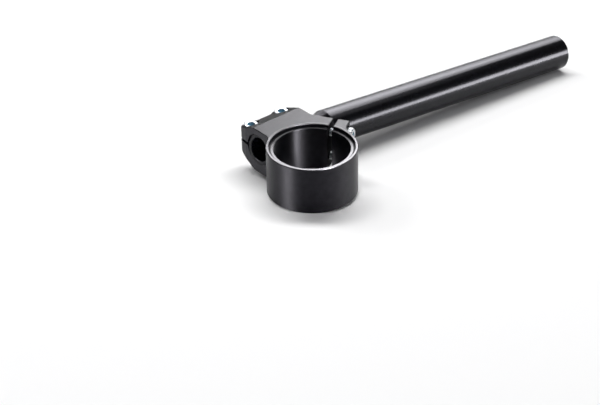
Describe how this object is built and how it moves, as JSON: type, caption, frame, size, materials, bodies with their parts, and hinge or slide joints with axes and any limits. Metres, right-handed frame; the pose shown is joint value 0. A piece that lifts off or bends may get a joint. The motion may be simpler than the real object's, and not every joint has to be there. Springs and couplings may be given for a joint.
{
  "type": "clip-on handlebar",
  "caption": "Motorcycle clip-on handlebar: a split ring clamps round a fork tube, and a slotted block beside it grips a straight, drooping bar for a hand grip and controls.",
  "frame": {"origin": "middle of the fork bore, at half the clamp body's height", "axes": "+Z along the fork axis, towards the recessed face with the pinch-screw heads; +X square to it, the way the bar leaves the clamp; +Y from the fork axis towards the bar"},
  "size_m": [0.2655, 0.0783, 0.0499],
  "materials": {
    "clamp_anodised": "satin black anodised",
    "bar_anodised": "semi-gloss black anodised",
    "screw_steel": "bright zinc plated"
  },
  "bodies": {
    "root": {"clamp_body": "clamp_anodised", "bar": "bar_anodised", "pinch_screws": "screw_steel", "ear_screws": "screw_steel"}
  },
  "joints": []
}
